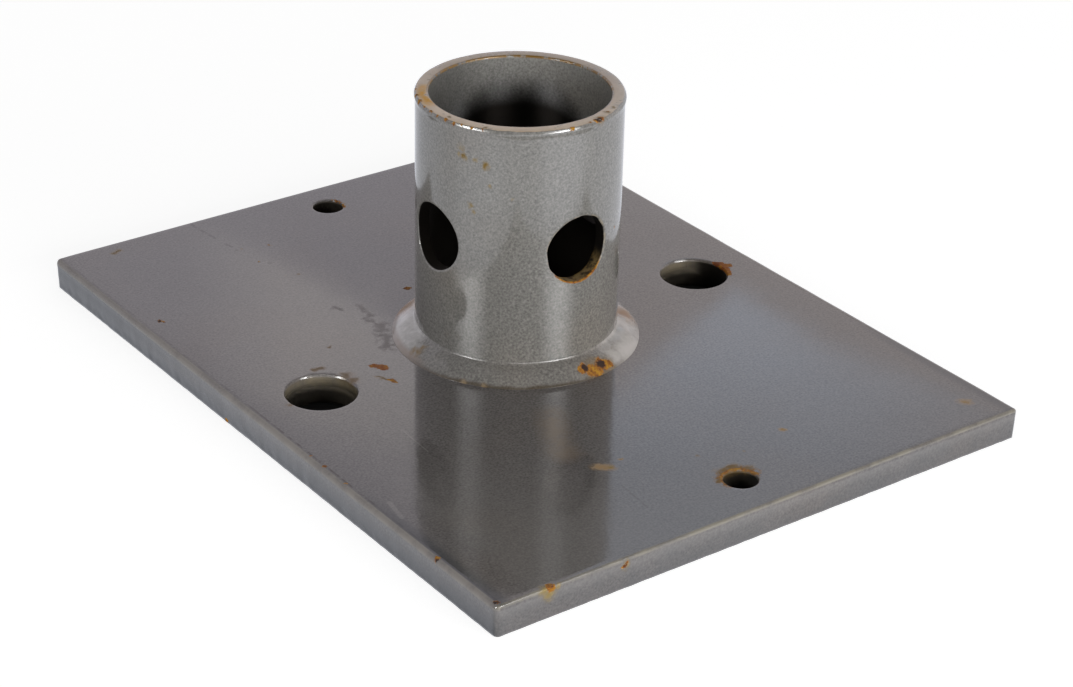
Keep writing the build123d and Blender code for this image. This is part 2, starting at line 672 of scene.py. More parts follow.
def side_mask(at, angle, full, gone, uneven=0.0):
    """1 on the tube's side that faces an angle in plan, to full degrees of it, and 0 from gone degrees."""
    turn = radians(angle)
    facing = maths("ADD", dot(at.outward, (cos(turn), sin(turn), 0.0)), uneven)
    return fit(facing, cos(radians(gone)), cos(radians(full)))


def blob(centre, radius):
    """Round spot."""
    return [(centre, centre, radius)]


def on_plate(x, y, radius):
    return blob((x, y, plate_top), radius)


def streak(start, end, radius):
    """Long spot on the plate's top face."""
    return [((*start, plate_top), (*end, plate_top), radius)]


def on_tube(angle, height, radius):
    return blob(around(radians(angle), tube_radius, height), radius)


def on_rim(angle, distance, radius):
    return blob(around(radians(angle), distance, rim_height - 0.1), radius)


def on_weld(angle, distance, height, radius):
    return blob(around(radians(angle), distance, height), radius)


def many(kind, *rows):
    """Spots of one kind, a row of numbers for each."""
    return [spot for row in rows for spot in kind(*row)]


# Colours of rust, from its pits to its dry crust
rust_colours = [(0.0, (0.022, 0.006, 0.001)), (0.3, (0.12, 0.03, 0.002)),
                (0.55, (0.33, 0.12, 0.004)), (0.9, (0.52, 0.265, 0.01))]
red_crust = (0.29, 0.068, 0.002)

# Colours of stains and dust
brown_stain = (0.20, 0.125, 0.04)
olive_stain = (0.25, 0.175, 0.055)
gold_stain = (0.19, 0.11, 0.008)
yellow_stain = (0.27, 0.185, 0.03)
dark_smudge = (0.17, 0.105, 0.04)
tan_dust = (0.42, 0.25, 0.08)
pale_tan = (0.43, 0.27, 0.17)
near_black = (0.014, 0.012, 0.010)  # near black: painted shade in the bore, on the plate inside it and deep in the plate's holes, and the cross holes' dark walls

# Speckle, roughness and bumps of the paint, the same on all three pieces
warm_tint = (1.03, 0.98, 0.93)
cloud_contrast = 0.30
speckle_contrast = 1.6
paint_roughness = (0.08, 0.12)
paint_ior = 1.52
bump_depth = 0.08
bump_strength = 0.25


def paint_colour(at, colour):
    """Grey paint with warm clouds and a fine speckle."""
    cloud = fractal(at.point, 0.028, 3.0, 0.6)
    speckle = fractal(at.point, 1.5, 2.0, 0.6)
    tone = maths("MULTIPLY_ADD", less(cloud, 0.5), cloud_contrast, 1.0)
    tone = maths("MULTIPLY_ADD", less(speckle, 0.5), speckle_contrast, tone)
    warm = fit(fractal(at.point, 0.017, 2.0, 0.6), 0.4, 0.7)
    paint = mix(warm, colour, tuple(c * f for c, f in zip(colour, warm_tint)))
    return mix(1.0, paint, grey(tone), "MULTIPLY")


def rust_colour(at, warped, pits, red_rust):
    """Mottled rust with dark pits, redder where it is thick."""
    shade = maths("MULTIPLY_ADD", fractal(at.point, 0.7, 3.0, 0.7), 1.9, -0.38)
    shade = less(shade, fit(spots_mask(warped, pits), -0.2, 0.5))
    colour = ramp(shade, rust_colours)
    if red_rust:
        red = fit(spots_mask(at.point, red_rust), -0.2, 0.3, 0.0, 0.5)
        colour = mix(red, colour, red_crust)
    return colour


def paint_material(name, colour, rust, pits, red_rust, stains, finish):
    """Semi-gloss grey paint with stains, and with rust where it has failed.

    red_rust has the spots where the rust is thick and red. stains gives, for each stain colour, the
    spots that have it.

    finish(at, paint) adds what is worn, dirty or was never painted, and painted light and shade. It gives
    the colour, how much rougher it is there, a mask for metal, which takes in bare steel and painted shade,
    and a mask for more rust.
    """
    material, tree = new_material(name)
    at = Place(tree)
    warp = vector("SUBTRACT", fractal(at.point, 0.42, 3.0, 0.6, "Color"), (0.5, 0.5, 0.5))
    warped = vector("ADD", at.point, vector("MULTIPLY", warp, (3.0, 3.0, 3.0)))
    grain = fractal(at.point, 0.9, 4.0, 0.65)

    paint = paint_colour(at, colour)
    rough = fit(fractal(at.point, 0.06, 3.0, 0.6), 0.3, 0.7, *paint_roughness)
    paint, rougher, steel, more_rust = finish(at, paint)
    rough = maths("ADD", rough, rougher)
    for stain_colour, spots in stains.items():
        stain = maths("MULTIPLY_ADD", grain, 0.9, spots_mask(warped, spots))
        stain = fit(stain, 0.05, 1.35, 0.0, 0.85)
        paint = mix(stain, paint, stain_colour)
        rough = maths("MULTIPLY_ADD", times(stain, stain), 0.8, rough)

    core = most(spots_mask(warped, rust), more_rust)
    cover = fit(maths("ADD", core, less(grain, 0.5)), -0.1, 0.2)
    surface = mix(cover, paint, rust_colour(at, warped, pits, red_rust))

    shader = add_node(tree, "ShaderNodeBsdfPrincipled")
    put(shader.inputs["Base Color"], surface)
    put(shader.inputs["Roughness"], maths("MULTIPLY_ADD", cover, 0.9, rough, clamp=True))
    put(shader.inputs["Metallic"], steel)
    shader.inputs["IOR"].default_value = paint_ior
    ripples = fractal(at.point, 0.16, 2.0, 0.5)
    bump = add_node(tree, "ShaderNodeBump")
    bump.inputs["Strength"].default_value = bump_strength
    bump.inputs["Distance"].default_value = bump_depth * MM
    grit = fractal(at.point, 1.2, 1.0, 0.5)
    put(bump.inputs["Height"], maths("MULTIPLY_ADD", grit, 0.35, ripples))
    put(shader.inputs["Normal"], bump.outputs[0])
    make_surface(shader)
    return material


# Paint of the plate

plate_colour = (0.150, 0.139, 0.134)
side_shade = (0.085, 0.092, 0.095)
# Painted light, high on the sheared sides
side_painted_light = (0.31, 0.295, 0.285)
# Grime at the sides' far end, and painted shade at their foot
side_grime_and_shade = (0.03, 0.033, 0.036)
# Painted light on the top, towards the near corner
front_painted_light = (0.30, 0.285, 0.265)
roll_line_dark = (0.045, 0.032, 0.022)
droop_shade = (0.045, 0.05, 0.055)
# Painted sheen on the long edges' roll
roll_painted_sheen = (0.30, 0.275, 0.24)
pale_arris = (0.30, 0.275, 0.22)
scribed_dark = (0.04, 0.032, 0.026)
speck_dark = (0.05, 0.04, 0.032)
brown_veil = (0.22, 0.166, 0.122)
wisp_dark = (0.07, 0.055, 0.045)
scratch_brown = (0.09, 0.065, 0.045)
scratch_pale = (0.40, 0.375, 0.355)
wall_tan = (0.28, 0.235, 0.16)
wall_grey = (0.15, 0.155, 0.155)
ring_brown = (0.26, 0.115, 0.012)


def plate_sides(at, mottle, paint):
    """Sheared sides: greyer, with painted light high up, most on the short ones, painted shade at the long
    ones' foot, and grime at their far end.

    Gives the colour, the mask of the sides and the mask of bare scale on them.
    """
    side = fit(at.depth, 1.2, 2.2)
    paint = mix(times(side, fit(mottle, 0.3, 0.7, 0.35, 0.0)), paint, side_shade)
    short_side = fit(at.reach_y, half_length - 1.5, half_length - 0.6)
    # Painted light: the sides are lighter high up, most on the short ones
    clean = times(side, fit(at.z, 3.5, 9.0), maths("MULTIPLY_ADD", short_side, 0.30, 0.10))
    paint = mix(clean, paint, side_painted_light)
    # Painted shade: the sides darken towards their foot, most on the long ones; grime darkens the long
    # ones' far end
    foot = times(fit(at.z, 9.0, 0.5), maths("MULTIPLY_ADD", short_side, -0.76, 0.94))
    far_end = times(less(1.0, short_side), fit(at.y, -20.0, 90.0, 0.0, 0.8))
    paint = mix(times(most(foot, far_end), side), paint, side_grime_and_shade)
    return paint, side, times(far_end, side, 0.5)


def plate_edges(at, side, mottle, broken, paint):
    """Painted light towards the near corner, a dark line where the long edges start to roll, a painted
    sheen on that roll, and pale crests on the short edges.
    """
    inner = half_width - long_edge_roll
    # Painted light: the top is lighter towards the near corner
    dusty = times(less(1.0, side), fit(at.reach_x, half_width - 7, half_width - 16),
                  fit(dot(at.point, forwards), 65.0, 120.0, 0.0, 0.25))
    paint = mix(dusty, paint, front_painted_light)
    on_top = fit(at.depth, 0.5, 0.3)
    # A dark line where the long edges start to roll
    roll_line = times(near(at.reach_x, inner - 0.5, 0.1, 0.35), on_top,
                      fit(at.y, 30.0, -30.0, 0.35, 1.0), broken)
    paint = mix(roll_line, paint, roll_line_dark)
    droop = times(fit(at.reach_x, inner - 4.5, inner - 1.0), on_top, fit(at.y, -45.0, -75.0, 0.0, 0.7))
    paint = mix(droop, paint, droop_shade)
    # Painted sheen: lighter paint on the long edges' roll
    rolled = times(fit(at.reach_x, inner - 0.1, inner + 0.35),
                   fit(at.depth, 1.9, 1.1),
                   fit(at.y, 0.0, 90.0, 1.0, 0.65), fit(mottle, 0.35, 0.6, 0.45, 0.95))
    paint = mix(rolled, paint, roll_painted_sheen)
    # A pale line along the short edges' crest
    pale_crest = times(near(at.depth, 0.45, 0.35, 0.4),
                  fit(at.reach_y, half_length - 1.1, half_length - 0.5),
                  fit(mottle, 0.35, 0.6, 0.25, 0.85))
    return mix(pale_crest, paint, pale_arris)


def marked(at, paint, spots, full, share, colour, patches=1.0):
    """Paint with marks of a colour, which are full where the spots' mask has the full value."""
    mask = fit(spots_mask(at.point, spots), 0.0, full, 0.0, share)
    return mix(times(mask, patches), paint, colour)


def plate_marks(at, mottle, broken, paint):
    """Marks on the plate's top: a scribed line and specks, a brown veil, dark wisps and scratches.

    Gives the colour and the mask of the wisps.
    """
    scribed = many(streak, ((-43.8, 117.2), (-42.7, 104.4), 0.7), ((-42.0, 98.8), (-41.4, 96.0), 0.6))
    specks = many(on_plate, (-41.2, 93.1, 0.8), (-39.8, 82.0, 0.8), (-37.4, 79.5, 1.0))
    veil = streak((-22.0, -47.0), (-32.0, -67.0), 7.5)
    wisps = many(streak, ((-37.2, 43.1), (-35.5, 39.6), 1.6), ((-30.3, 39.3), (-30.5, 32.3), 1.8),
                 ((-33.1, 31.7), (-32.1, 25.5), 1.8), ((-31.5, 26.0), (-37.4, 12.4), 3.4))
    faint_line = streak((-28.9, -88.6), (-30.2, -102.1), 0.5)
    scratches = many(streak, ((-61.4, -32.1), (-62.1, -45.0), 0.3), ((-85.7, -61.7), (-87.2, -69.9), 0.9))

    paint = marked(at, paint, scribed, 0.5, 0.85, scribed_dark, broken)
    paint = marked(at, paint, specks, 0.5, 0.75, speck_dark)
    paint = marked(at, paint, veil, 1.0, 0.85, brown_veil, fit(mottle, 0.3, 0.6, 0.35, 1.0))
    wisp = maths("ADD", spots_mask(at.point, wisps),
                 fit(fractal(at.point, 0.42, 3.0, 0.6), 0.3, 0.7, -0.6, 0.6))
    wisp = fit(wisp, 0.0, 1.1, 0.0, 0.85)
    paint = mix(wisp, paint, wisp_dark)
    paint = marked(at, paint, faint_line, 0.8, 0.45, scratch_brown, broken)
    return marked(at, paint, scratches, 0.6, 0.28, scratch_pale), wisp


def plate_hole_walls(at, mottle, paint):
    """Dust on the walls of the holes. Gives also the mask of their painted shade, deep down and on their
    unlit sides.
    """
    rings = [ring_mask(at.point, (x, y, 0), in_plan, radius, 1.0) for x, y, radius in plate_holes()]
    wall = times(fit(most(*rings), 0.3, 0.6), fit(at.depth, 0.2, 1.2))
    near_wall = fit(at.y, 3 - nail_hole_y, -nail_hole_y, 0.0, 0.95)
    dusty = times(wall, fit(mottle, 0.3, 0.65, 0.4, 0.95))
    paint = mix(dusty, paint, mix(near_wall, wall_tan, wall_grey))
    right_wall = bolt_hole_x * rightwards[0]
    # Painted shade: the walls go near black with depth, on the right hole's far side and in the far small
    # hole
    unlit = most(fit(at.depth, 1.6, 5.8, 0.0, 0.95),
                 fit(dot(at.point, rightwards), right_wall - 4, right_wall + 4, 0.0, 0.97),
                 fit(at.y, nail_hole_y - 7, nail_hole_y - 6, 0.0, 0.96))
    return paint, times(wall, unlit)


def plate_rings(at, paint):
    """Brown ring round the near small hole, and broken rust round three of the holes.

    Gives the colour, the mask of the brown and the mask of the rust.
    """
    near_ring = ring_mask(at.point, (0, -nail_hole_y, 0), in_plan, nail_hole_radius + 0.5, 2.1)
    near_ring = less(near_ring, fit(at.y, 0.3 - nail_hole_y, -4.2 - nail_hole_y))
    patchy = fit(fractal(at.point, 0.8, 3.0, 0.7), 0.35, 0.65, -0.65, 0.45)
    brown = times(fit(maths("ADD", near_ring, patchy), 0.0, 0.9, 0.0, 0.95),
                  fit(at.depth, 0.9, 0.4))
    paint = mix(brown, paint, ring_brown)
    far_ring = ring_mask(at.point, (0, nail_hole_y, 0), in_plan, nail_hole_radius + 0.2, 0.7)
    far_ring = less(far_ring, fit(at.x, 4.5, 1.5, 0.0, 1.6),
                    fit(fractal(at.point, 0.8, 2.0, 0.7), 0.56, 0.42, 0.0, 0.9))
    right_ring = ring_mask(at.point, (bolt_hole_x, 0, 0), in_plan, bolt_hole_radius + 0.4, 1.3)
    right_ring = less(right_ring, fit(at.x, bolt_hole_x + 9.6, bolt_hole_x + 7.1, 0.0, 1.6),
                      fit(at.y, 2.0, 4.5, 0.0, 1.6))
    rust = most(less(near_ring, 0.82), far_ring, right_ring)
    return paint, brown, less(rust, fit(at.depth, 0.3, 1.3, 0.0, 1.6))


def plate_finish(at, paint):
    """Sheared sides and edges with painted light and shade, marks, hole walls, rings of rust, and painted
    shade at the foot of the bore.
    """
    mottle = fractal(at.point, 0.13, 4.0, 0.65)
    broken = fit(fractal(at.point, 0.21, 3.0, 0.7), 0.38, 0.58)
    paint, side, scale = plate_sides(at, mottle, paint)
    paint = plate_edges(at, side, mottle, broken, paint)
    paint, wisp = plate_marks(at, mottle, broken, paint)
    paint, dark_wall = plate_hole_walls(at, mottle, paint)
    # Painted shade: the plate's top inside the bore and the holes' unlit walls go near black
    bare = most(fit(at.across, bore_radius + 0.6, bore_radius), dark_wall)
    paint = mix(bare, paint, near_black)
    paint, brown, rust = plate_rings(at, paint)
    # Dust on the left hole's far edge, which breaks the highlight there
    dull_edge = fit(spots_mask(at.point, streak((-65.4, 9.9), (-60.6, 6.9), 2.0)), 0.0, 0.5)
    rougher = most(bare, brown, times(dull_edge, 0.5), times(wisp, 0.4))
    return paint, times(rougher, 0.8), most(scale, dark_wall), rust


def plate_paint():
    left = -half_width
    front = -half_length
    rust = (
        many(streak, ((-47.2, 5.0), (-45.6, 1.8), 1.4), ((-48.0, -4.9), (-47.5, -7.2), 0.8),
             ((79.6, 1.4), (79.4, -3.2), 1.3))
        + many(on_plate, (-11.2, 41.2, 1.4), (left + 6.5, 63.9, 0.9), (left + 7.3, 62.9, 0.5),
               (81.0, -1.4, 1.5), (-39.4, 82.2, 0.4), (-30.8, 90.6, 0.5))
        + many(blob, ((left + 1.0, -91.4, 9.1), 1.1), ((left + 1.4, front + 1.9, 9.1), 1.0),
               ((-74.4, front + 0.4, 9.3), 1.4), ((-50.8, front, 7.0), 0.9), ((-50.0, front, 8.0), 0.5),
               ((left + 1.5, -29.0, 9.4), 0.4), ((left + 1.5, -36.0, 9.4), 0.5),
               ((left + 1.5, -47.0, 9.4), 0.4), ((left + 0.2, 15.0, 0.4), 0.9))
    )
    pits = (
        many(blob, ((left + 0.7, -92.0, 8.8), 0.8), ((left + 1.3, front + 1.8, 9.0), 0.9))
        + many(on_plate, (left + 6.5, 63.9, 0.7), (79.2, 1.8, 1.2))
    )
    brown = (
        many(on_plate, (-39.9, 92.8, 0.6), (-37.8, 69.3, 0.5), (-30.8, 90.6, 0.9), (-34.0, 68.0, 0.8),
             (-1.8, -88.4, 0.7), (10.4, -94.0, 0.7), (5.6, -101.5, 2.0), (-5.4, -102.5, 1.8))
        + many(streak, ((-74.4, 112.4), (-72.0, 113.4), 1.3), ((-50.2, -0.8), (-48.4, -4.4), 0.8),
               ((-2.0, -98.6), (3.0, -98.8), 2.2))
    )
    smudge = (
        streak((-63.1, 12.3), (-60.4, 11.8), 1.4)
        + many(on_plate, (-57.0, 4.4, 2.6), (-57.2, 0.9, 2.2), (-51.9, 21.9, 1.0), (-79.6, -1.5, 1.3))
    )
    yellow = (
        many(blob, ((-75.0, front, 7.4), 2.4), ((-76.5, front, 8.8), 1.8), ((-72.2, front, 8.9), 1.2))
        + on_plate(-25.4, -80.0, 0.9)
    )
    dust = (
        streak((-28.4, -77.9), (-25.9, -80.0), 2.0)
        + many(on_plate, (-20.6, -78.2, 0.9), (81.2, -107.5, 2.2), (27.2, -90.5, 1.2))
    )
    stains = {brown_stain: brown, olive_stain: blob((-50.2, front, 7.4), 1.6), tan_dust: dust,
              yellow_stain: yellow, dark_smudge: smudge}
    red_rust = many(streak, ((-47.4, 5.8), (-45.3, 1.5), 2.5), ((79.6, 2.4), (80.4, -3.2), 4.0))
    return paint_material("plate_paint", plate_colour, rust, pits, red_rust, stains, plate_finish)


# Paint of the socket tube

tube_colour = (0.238, 0.231, 0.215)
hole_dust = (0.17, 0.105, 0.022)
rim_brown = (0.40, 0.29, 0.18)
rim_pale = (0.70, 0.56, 0.40)
rim_gold = (0.70, 0.345, 0.01)
edge_brown = (0.10, 0.06, 0.04)
edge_rust = (0.24, 0.125, 0.015)
worn_edge = (0.40, 0.35, 0.27)
painted_light_side = (0.94, 0.342, 0.0)  # the side of the bore that gets the most painted light
near_hole_y = -22.0  # the wall with the near cross hole lies beyond this
# Heights between which painted shade darkens the bore, on its far side
bore_shade_high = 82.0
bore_shade_low = 70.5


def tube_bore(at, paint):
    """Inside of the tube, with painted light at its right and painted shade deep down, from higher on its
    far side.

    Gives the colour, the mask of the inside and the mask of the painted shade.
    """
    inside = fit(at.across, bore_radius + 0.9, bore_radius + 0.2)
    # Painted light: the inside is lighter towards its right
    painted_light_gain = grey(fit(dot(at.outward, painted_light_side), 0.1, 0.85, 0.72, 1.38))
    paint = mix(inside, paint, mix(1.0, paint, painted_light_gain, "MULTIPLY"))
    # Painted shade: the bore goes near black deep down, from higher on its far side
    lower_ahead = fit(dot(at.outward, backwards), 1.0, 0.55, 0.0, 10.0)
    deep = fit(maths("ADD", at.z, lower_ahead), bore_shade_high, bore_shade_low)
    dark = times(inside, deep)
    return mix(dark, paint, near_black), inside, dark


def tube_drilled(at, paint):
    """Walls of the cross holes, near black with dust low in the near one, and the masks of both."""
    holes_top = pin_hole_height + pin_hole_radius
    drilled = times(fit(at.across, tube_radius - 0.08, tube_radius - 0.45),
                    fit(at.z, holes_top + 2.5, holes_top + 1.0))
    dust = times(fit(at.z, pin_hole_height - 3, pin_hole_height - 7.5),
                 fit(fractal(at.point, 0.38, 3.0, 0.7), 0.3, 0.6),
                 fit(at.y, near_hole_y + 6, near_hole_y))
    return mix(drilled, paint, mix(dust, near_black, hole_dust)), drilled, dust


def tube_rim(at, paint):
    """Rubbed end face of the tube, golden at its left, with brown edges at its back.

    Gives the colour, the mask of the rubbed face and the mask of the golden part.
    """
    back = dot(at.outward, backwards)
    uneven = maths("MULTIPLY_ADD", fractal(at.point, 0.35, 3.0, 0.6), 0.2, at.z)
    rubbed = fit(uneven, rim_height - 0.05, rim_height + 0.05)
    bare = mix(fractal(at.point, 0.26, 4.0, 0.7), rim_brown, rim_pale)
    # Painted light and shade: the rubbed face is lighter at its front and darker at its back
    bare = mix(1.0, bare, grey(fit(back, -0.8, 0.8, 1.16, 0.72)), "MULTIPLY")
    paint = mix(rubbed, paint, bare)
    patchy = fractal(at.point, 0.3, 3.0, 0.7)
    inward = fit(maths("MULTIPLY_ADD", patchy, 3.0, at.across),
                 tube_radius + 1.35, tube_radius - 0.35, 0.3, 1.0)
    golden = times(rubbed, side_mask(at, 155, 6, 20), inward, fit(patchy, 0.36, 0.56, 0.6, 1.0))
    paint = mix(golden, paint, rim_gold)
    outer_edge = times(fit(at.across, tube_radius - 0.4, tube_radius + 0.1),
                       fit(at.z, rim_height - 0.9, rim_height - 0.4),
                       fit(back, -0.25, 0.1, 0.0, 0.75),
                       fit(fractal(at.point, 0.33, 3.0, 0.7), 0.34, 0.52))
    paint = mix(outer_edge, paint, edge_brown)
    inner_edge = times(fit(at.across, bore_radius + 0.75, bore_radius + 0.35),
                       fit(at.z, rim_height - 0.9, rim_height - 0.5), fit(back, -0.3, 0.15),
                       fit(fractal(at.point, 0.42, 4.0, 0.75), 0.40, 0.52))
    return mix(inner_edge, paint, edge_rust), rubbed, golden


def tube_hole_edge(at, paint):
    """Worn edge of the near cross hole. Gives the colour and the mask of the rust at its foot."""
    ring = ring_mask(at.point, (0, 0, pin_hole_height), (1.0, 0.0, 1.0), pin_hole_radius + 0.15, 0.7)
    worn = times(fit(ring, 0.4, 0.7), fit(at.y, near_hole_y, near_hole_y - 1),
                 fit(at.across, tube_radius - 0.5, tube_radius - 0.2),
                 fit(fractal(at.point, 0.45, 3.0, 0.7), 0.42, 0.56, 0.0, 0.8))
    rust = less(ring, fit(at.y, near_hole_y, near_hole_y + 4, 0.0, 2.0),
                fit(at.across, tube_radius - 0.3, tube_radius - 0.9),
                fit(at.z, pin_hole_height - 9, pin_hole_height - 2, 0.5, 1.5))
    return mix(worn, paint, worn_edge), rust


def tube_finish(at, paint):
    """The bore, the drilled walls, the bare rim and the near cross hole's edge."""
    paint, inside, dark = tube_bore(at, paint)
    paint, drilled, dust = tube_drilled(at, paint)
    paint, rubbed, golden = tube_rim(at, paint)
    paint, rust = tube_hole_edge(at, paint)
    rougher = 0.0
    for mask, amount in ((drilled, 0.9), (rubbed, 0.2), (golden, 0.4), (inside, 0.2)):
        rougher = maths("MULTIPLY_ADD", mask, amount, rougher)
    # Metal where painted shade lies deep in the bore, and on the cross holes' dark walls
    steel = most(dark, times(drilled, less(1.0, dust)))
    return paint, rougher, steel, rust


def tube_paint():
    rust = on_tube(-59.4, 50.0, 0.4) + many(
        on_rim, (-97, 30.2, 0.9), (-86, 29.8, 0.5), (-80, 29.7, 0.9), (-76.5, 29.9, 1.1), (-66, 28.6, 0.5),
        (146, 30.2, 0.6), (154, 30.4, 0.9), (162, 30.4, 1.0), (170, 30.3, 0.7), (177, 30.1, 0.9),
        (184, 30.1, 0.5), (191, 30.3, 0.7), (196, 30.2, 0.7), (201, 30.4, 0.6), (208, 30.3, 0.6),
        (214, 30.3, 0.5))
    pits = many(on_rim, (156, 30.5, 0.7), (-78, 29.6, 0.8))
    olive = many(
        on_tube, (-159.4, 80.0, 1.1), (-156.4, 77.2, 1.1), (-160.5, 77.6, 0.8), (-150.0, 77.0, 0.9),
        (-144.2, 76.0, 1.2), (-129.0, 66.3, 0.7), (-141.5, 69.7, 0.7), (-152.3, 63.1, 1.0),
        (-151.0, 61.0, 0.8))
    brown = many(on_rim, (190, 28.4, 0.9), (-77, 29.8, 1.8), (-68, 28.8, 1.2), (-60, 28.4, 1.0),
                 (215, 29.0, 0.9))
    gold = many(on_tube, (-158.6, 79.6, 0.8), (-157.2, 77.4, 1.1), (-144.2, 75.9, 1.1))
    stains = {olive_stain: olive, brown_stain: brown, gold_stain: gold}
    return paint_material("tube_paint", tube_colour, rust, pits, [], stains, tube_finish)


# Paint of the weld bead

weld_colour = (0.225, 0.216, 0.200)
# Chalky paint with a painted sheen, on the weld's lumps
right_pale_sheen = (0.52, 0.49, 0.46)
left_pale_sheen = (0.76, 0.74, 0.73)
toe_tan = (0.30, 0.22, 0.165)
# Brown dirt with painted shade, along the weld's toe
toe_dirt_and_shade = (0.075, 0.052, 0.028)


def weld_finish(at, paint):
    """Pale lumps at both sides of the weld, chalky paint with a painted sheen, a tan toe at its left, and
    brown dirt with painted shade along the rest.
    """
    patchy = fractal(at.point, 0.15, 3.0, 0.6)
    ragged = times(less(patchy, 0.5), 0.16)
    # Chalky paint with a painted sheen on the lumps at both sides
    for angle, gone, colour in ((-51, 26, right_pale_sheen), (146, 34, left_pale_sheen)):
        chalk = times(side_mask(at, angle, 4, gone, ragged), fit(patchy, 0.32, 0.62, 0.55, 1.0))
        paint = mix(chalk, paint, colour)
    uneven = maths("MULTIPLY_ADD", patchy, -1.2, at.z)
    tan_toe = times(fit(uneven, plate_top + 1.6, plate_top + 0.3, 0.0, 0.75), side_mask(at, 150, 22, 40))
    paint = mix(tan_toe, paint, toe_tan)
    # Brown dirt with painted shade in the crease along the toe, on the side that faces front
    shaded_dirty_toe = times(fit(uneven, plate_top + 0.5, plate_top - 0.4, 0.0, 0.75),
                      fit(dot(at.outward, forwards), 0.35, 0.85, 0.1, 1.0))
    return mix(shaded_dirty_toe, paint, toe_dirt_and_shade), 0.0, 0.0, -1.0


def weld_paint():
    rust = many(on_weld, (-91.5, 34.3, 12.4, 1.8), (-87.3, 35.3, 11.4, 2.0), (-83.5, 35.7, 11.0, 1.9),
                (-79.5, 35.0, 11.8, 2.2), (-76.0, 35.7, 11.0, 1.2), (-86.0, 36.4, 10.2, 1.3))
    pits = many(on_weld, (-90.3, 34.4, 12.4, 1.2), (-80.2, 34.9, 12.0, 1.5))
    brown = many(on_weld, (-85.0, 35.4, 11.4, 4.0), (-76.5, 35.8, 11.2, 2.6), (175.0, 35.0, 11.4, 1.6),
                 (178.0, 34.3, 12.0, 1.7), (178.5, 32.9, 13.0, 1.2), (-150.0, 36.6, 9.6, 1.3),
                 (-140.0, 36.6, 9.6, 1.2))
    tan = many(on_weld, (128, 34.6, 11.8, 6.5), (-27, 32.8, 13.2, 5.0))
    stains = {pale_tan: tan, brown_stain: brown}
    return paint_material("weld_paint", weld_colour, rust, pits, [], stains, weld_finish)


# Studio

white = (1.0, 1.0, 1.0)
floor_size = 8000.0
floor_colour = (0.55, 0.55, 0.55)
floor_under = (0.02, 0.02, 0.02)  # under the plate, so that the holes aren't lit from below
floor_white = 0.78  # the floor's glow to the camera
floor_mirrored = 0.98  # its glow in reflections
floor_behind = 0.74  # the share of that which is left behind the object
floor_lighting = 0.42  # its glow as light on the object
floor_tint = (0.95, 0.98, 1.08)
wall_lighting = 0.30  # the world's light on the object
wall_tints = ((0.95, 0.90, 0.99), (1.03, 0.95, 0.97))  # the world in reflections, to the left and right
card_distance = 220.0
card_fade = (115.0, 210.0)  # heights between which a card's strength changes
lamp_distance = 1600.0
strip_level = -0.085  # where the streaks' panels turn dim, from -1 at their foot to 1 at their top


def square_mesh(name, half):
    corners = [(-half, -half, 0), (half, -half, 0), (half, half, 0), (-half, half, 0)]
    return make_mesh(name, corners, [(0, 1, 2, 3)])


def mirrored_ray(path):
    """1 for the rays that see the studio in a reflection."""
    return most(path.outputs["Is Glossy Ray"], path.outputs["Is Transmission Ray"])


def make_floor(forward):
    """Pale floor, which shows white round the object and keeps its shadow."""
    mesh = square_mesh("floor", floor_size / 2)
    floor = add_object("floor", mesh)
    material, tree = new_material("floor")
    at = Place(tree)
    beyond = most(less(at.reach_x, half_width), less(at.reach_y, half_length))
    outside = fit(beyond, -6.0, 0.0)
    diffuse = add_node(tree, "ShaderNodeBsdfDiffuse", mix(outside, floor_under, floor_colour))
    path = add_node(tree, "ShaderNodeLightPath")
    mirrored = mirrored_ray(path)
    # In reflections it dims behind the object, and shows the two strips' glow in front of it
    level = Vector((forward.x, forward.y, 0)).normalized()
    behind = fit(dot(at.point, level), 20.0, 120.0, 1.0, floor_behind)
    seen = times(behind, floor_mirrored)
    for azimuth, glow_there in ((-40, 0.45), (48, 1.0)):
        lobe = fit(dot(at.outward, towards(forward, azimuth, 0)),
                   cos(radians(34)), cos(radians(4)), 0.0, glow_there)
        seen = maths("ADD", seen, times(lobe, fit(beyond, 15.0, 45.0)))
    strength = most(times(path.outputs["Is Camera Ray"], floor_white),
                    times(mirrored, seen), floor_lighting)
    glow = add_node(tree, "ShaderNodeEmission", mix(mirrored, white, floor_tint), times(outside, strength))
    make_surface(add_node(tree, "ShaderNodeAddShader", diffuse.outputs[0], glow.outputs[0]))
    mesh.materials.append(material)


def make_world(forward):
    """White behind the object for the camera, paler still in reflections, with a dim ceiling above."""
    world = bpy.data.worlds.new("studio")
    bpy.context.scene.world = world
    tree = empty_tree(world)
    direction = add_node(tree, "ShaderNodeTexCoord").outputs["Generated"]
    _, _, height = add_node(tree, "ShaderNodeSeparateXYZ", direction).outputs
    wall = times(fit(height, sin(radians(46)), sin(radians(56)), 1.0, 0.3),
                 fit(height, sin(radians(27.5)), sin(radians(33)), 1.0, 0.82))
    ahead = dot(direction, (forward.x, forward.y, 0.0))
    aside = dot(direction, (forward.y, -forward.x, 0.0))
    reflected = times(wall, fit(ahead, -0.3, 0.2, 0.30, 1.2))
    path = add_node(tree, "ShaderNodeLightPath")
    mirrored = mirrored_ray(path)
    strength = maths("ADD", times(mirrored, reflected), times(less(1.0, mirrored), wall_lighting))
    strength = most(strength, path.outputs["Is Camera Ray"])
    tint = mix(fit(aside, -0.06, 0.03), *wall_tints)
    background = add_node(tree, "ShaderNodeBackground", mix(mirrored, white, tint), strength)
    make_surface(background, "ShaderNodeOutputWorld")


def only_mirrored(name, mesh, material):
    """Studio piece that shows in reflections alone."""
    mesh.materials.append(material)
    piece = add_object(name, mesh)
    piece.visible_camera = False
    piece.visible_diffuse = False
    piece.visible_shadow = False
    return piece


